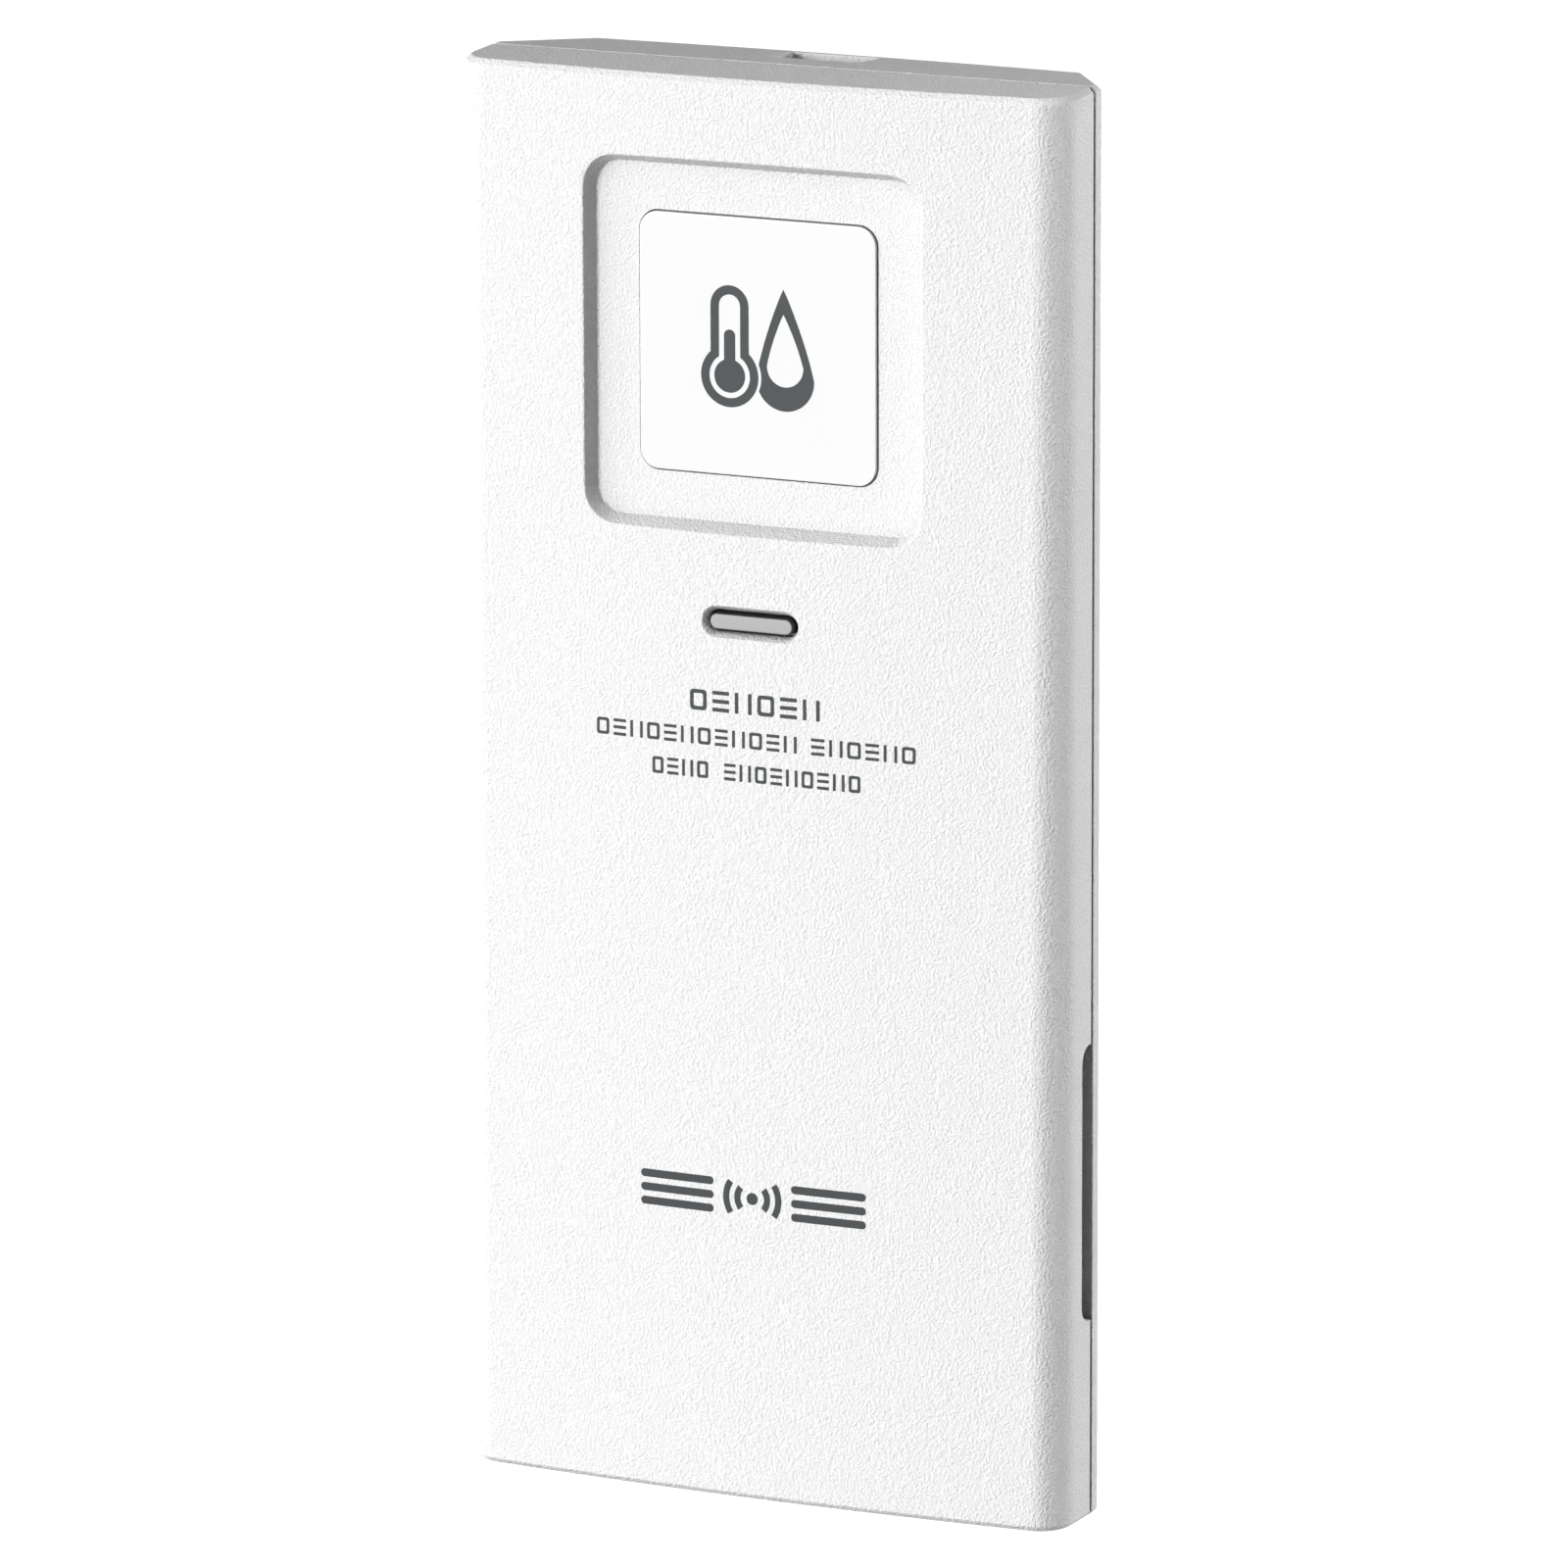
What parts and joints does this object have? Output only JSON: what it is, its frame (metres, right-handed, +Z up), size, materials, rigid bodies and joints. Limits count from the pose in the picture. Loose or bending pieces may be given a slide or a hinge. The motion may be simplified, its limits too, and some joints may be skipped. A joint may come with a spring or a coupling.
{
  "type": "wireless hygro-thermo remote sensor",
  "caption": "Slim wall or table remote sensor for temperature and humidity, with a light pipe, side vents, hanger slot and battery door.",
  "frame": {"origin": "middle of the base, on the surface it stands on", "axes": "+Z up, +X to the right seen from the front, the front faces -Y"},
  "size_m": [0.0584, 0.019, 0.1274],
  "materials": {
    "shell": "fine satin",
    "plate": "gloss",
    "light_pipe": "frosted face",
    "cell_jacket": "printed film",
    "contact": "nickel plate",
    "screw": "zinc plate",
    "board": "solder mask",
    "chip": "moulded",
    "can": "tin plate",
    "switch": "moulded",
    "capacitor": "sleeve",
    "led": "clear lens",
    "wire_white": "insulation",
    "ribbon": "insulation",
    "wire_red": "insulation",
    "wire_black": "insulation"
  },
  "bodies": {
    "case": {"front_shell": "shell", "rear_shell": "shell", "icon_plate": "plate", "light_pipe": "light_pipe", "battery_left": "cell_jacket", "battery_right": "cell_jacket", "contact_bridge": "contact", "contact_positive": "contact", "contact_negative": "contact", "spring_left": "contact", "spring_right": "contact", "lead_red": "wire_red", "lead_black": "wire_black", "circuit_board": "board", "board_screw_left": "screw", "board_screw_right": "screw", "microcontroller": "chip", "crystal_can": "can", "radio_board": "board", "radio_shield": "can", "capacitor": "capacitor", "status_led": "led", "antenna_wire": "wire_white", "sensor_board": "board", "hygro_thermo_chip": "chip", "ribbon_cable": "ribbon", "channel_switch_body": "switch", "reset_switch_body": "switch", "case_screw_1": "screw", "case_screw_2": "screw", "case_screw_3": "screw", "case_screw_4": "screw"},
    "door": {"battery_door": "shell", "door_screw": "screw"},
    "slider": {"channel_slider": "switch"},
    "reset": {"reset_button": "switch"}
  },
  "joints": [
    {"name": "door_hinge", "type": "hinge", "parent": "case", "child": "door", "pos_m": [0, 0.0093, 0.01], "axis": [-1, 0, 0], "range_deg": [0, 70]},
    {"name": "channel_slide", "type": "slide", "parent": "case", "child": "slider", "axis": [-1, 0, 0], "range_m": [0, 0.004]},
    {"name": "reset_press", "type": "slide", "parent": "case", "child": "reset", "axis": [0, -1, 0], "range_m": [0, 0.00025], "stiffness_N_per_m": 800}
  ]
}
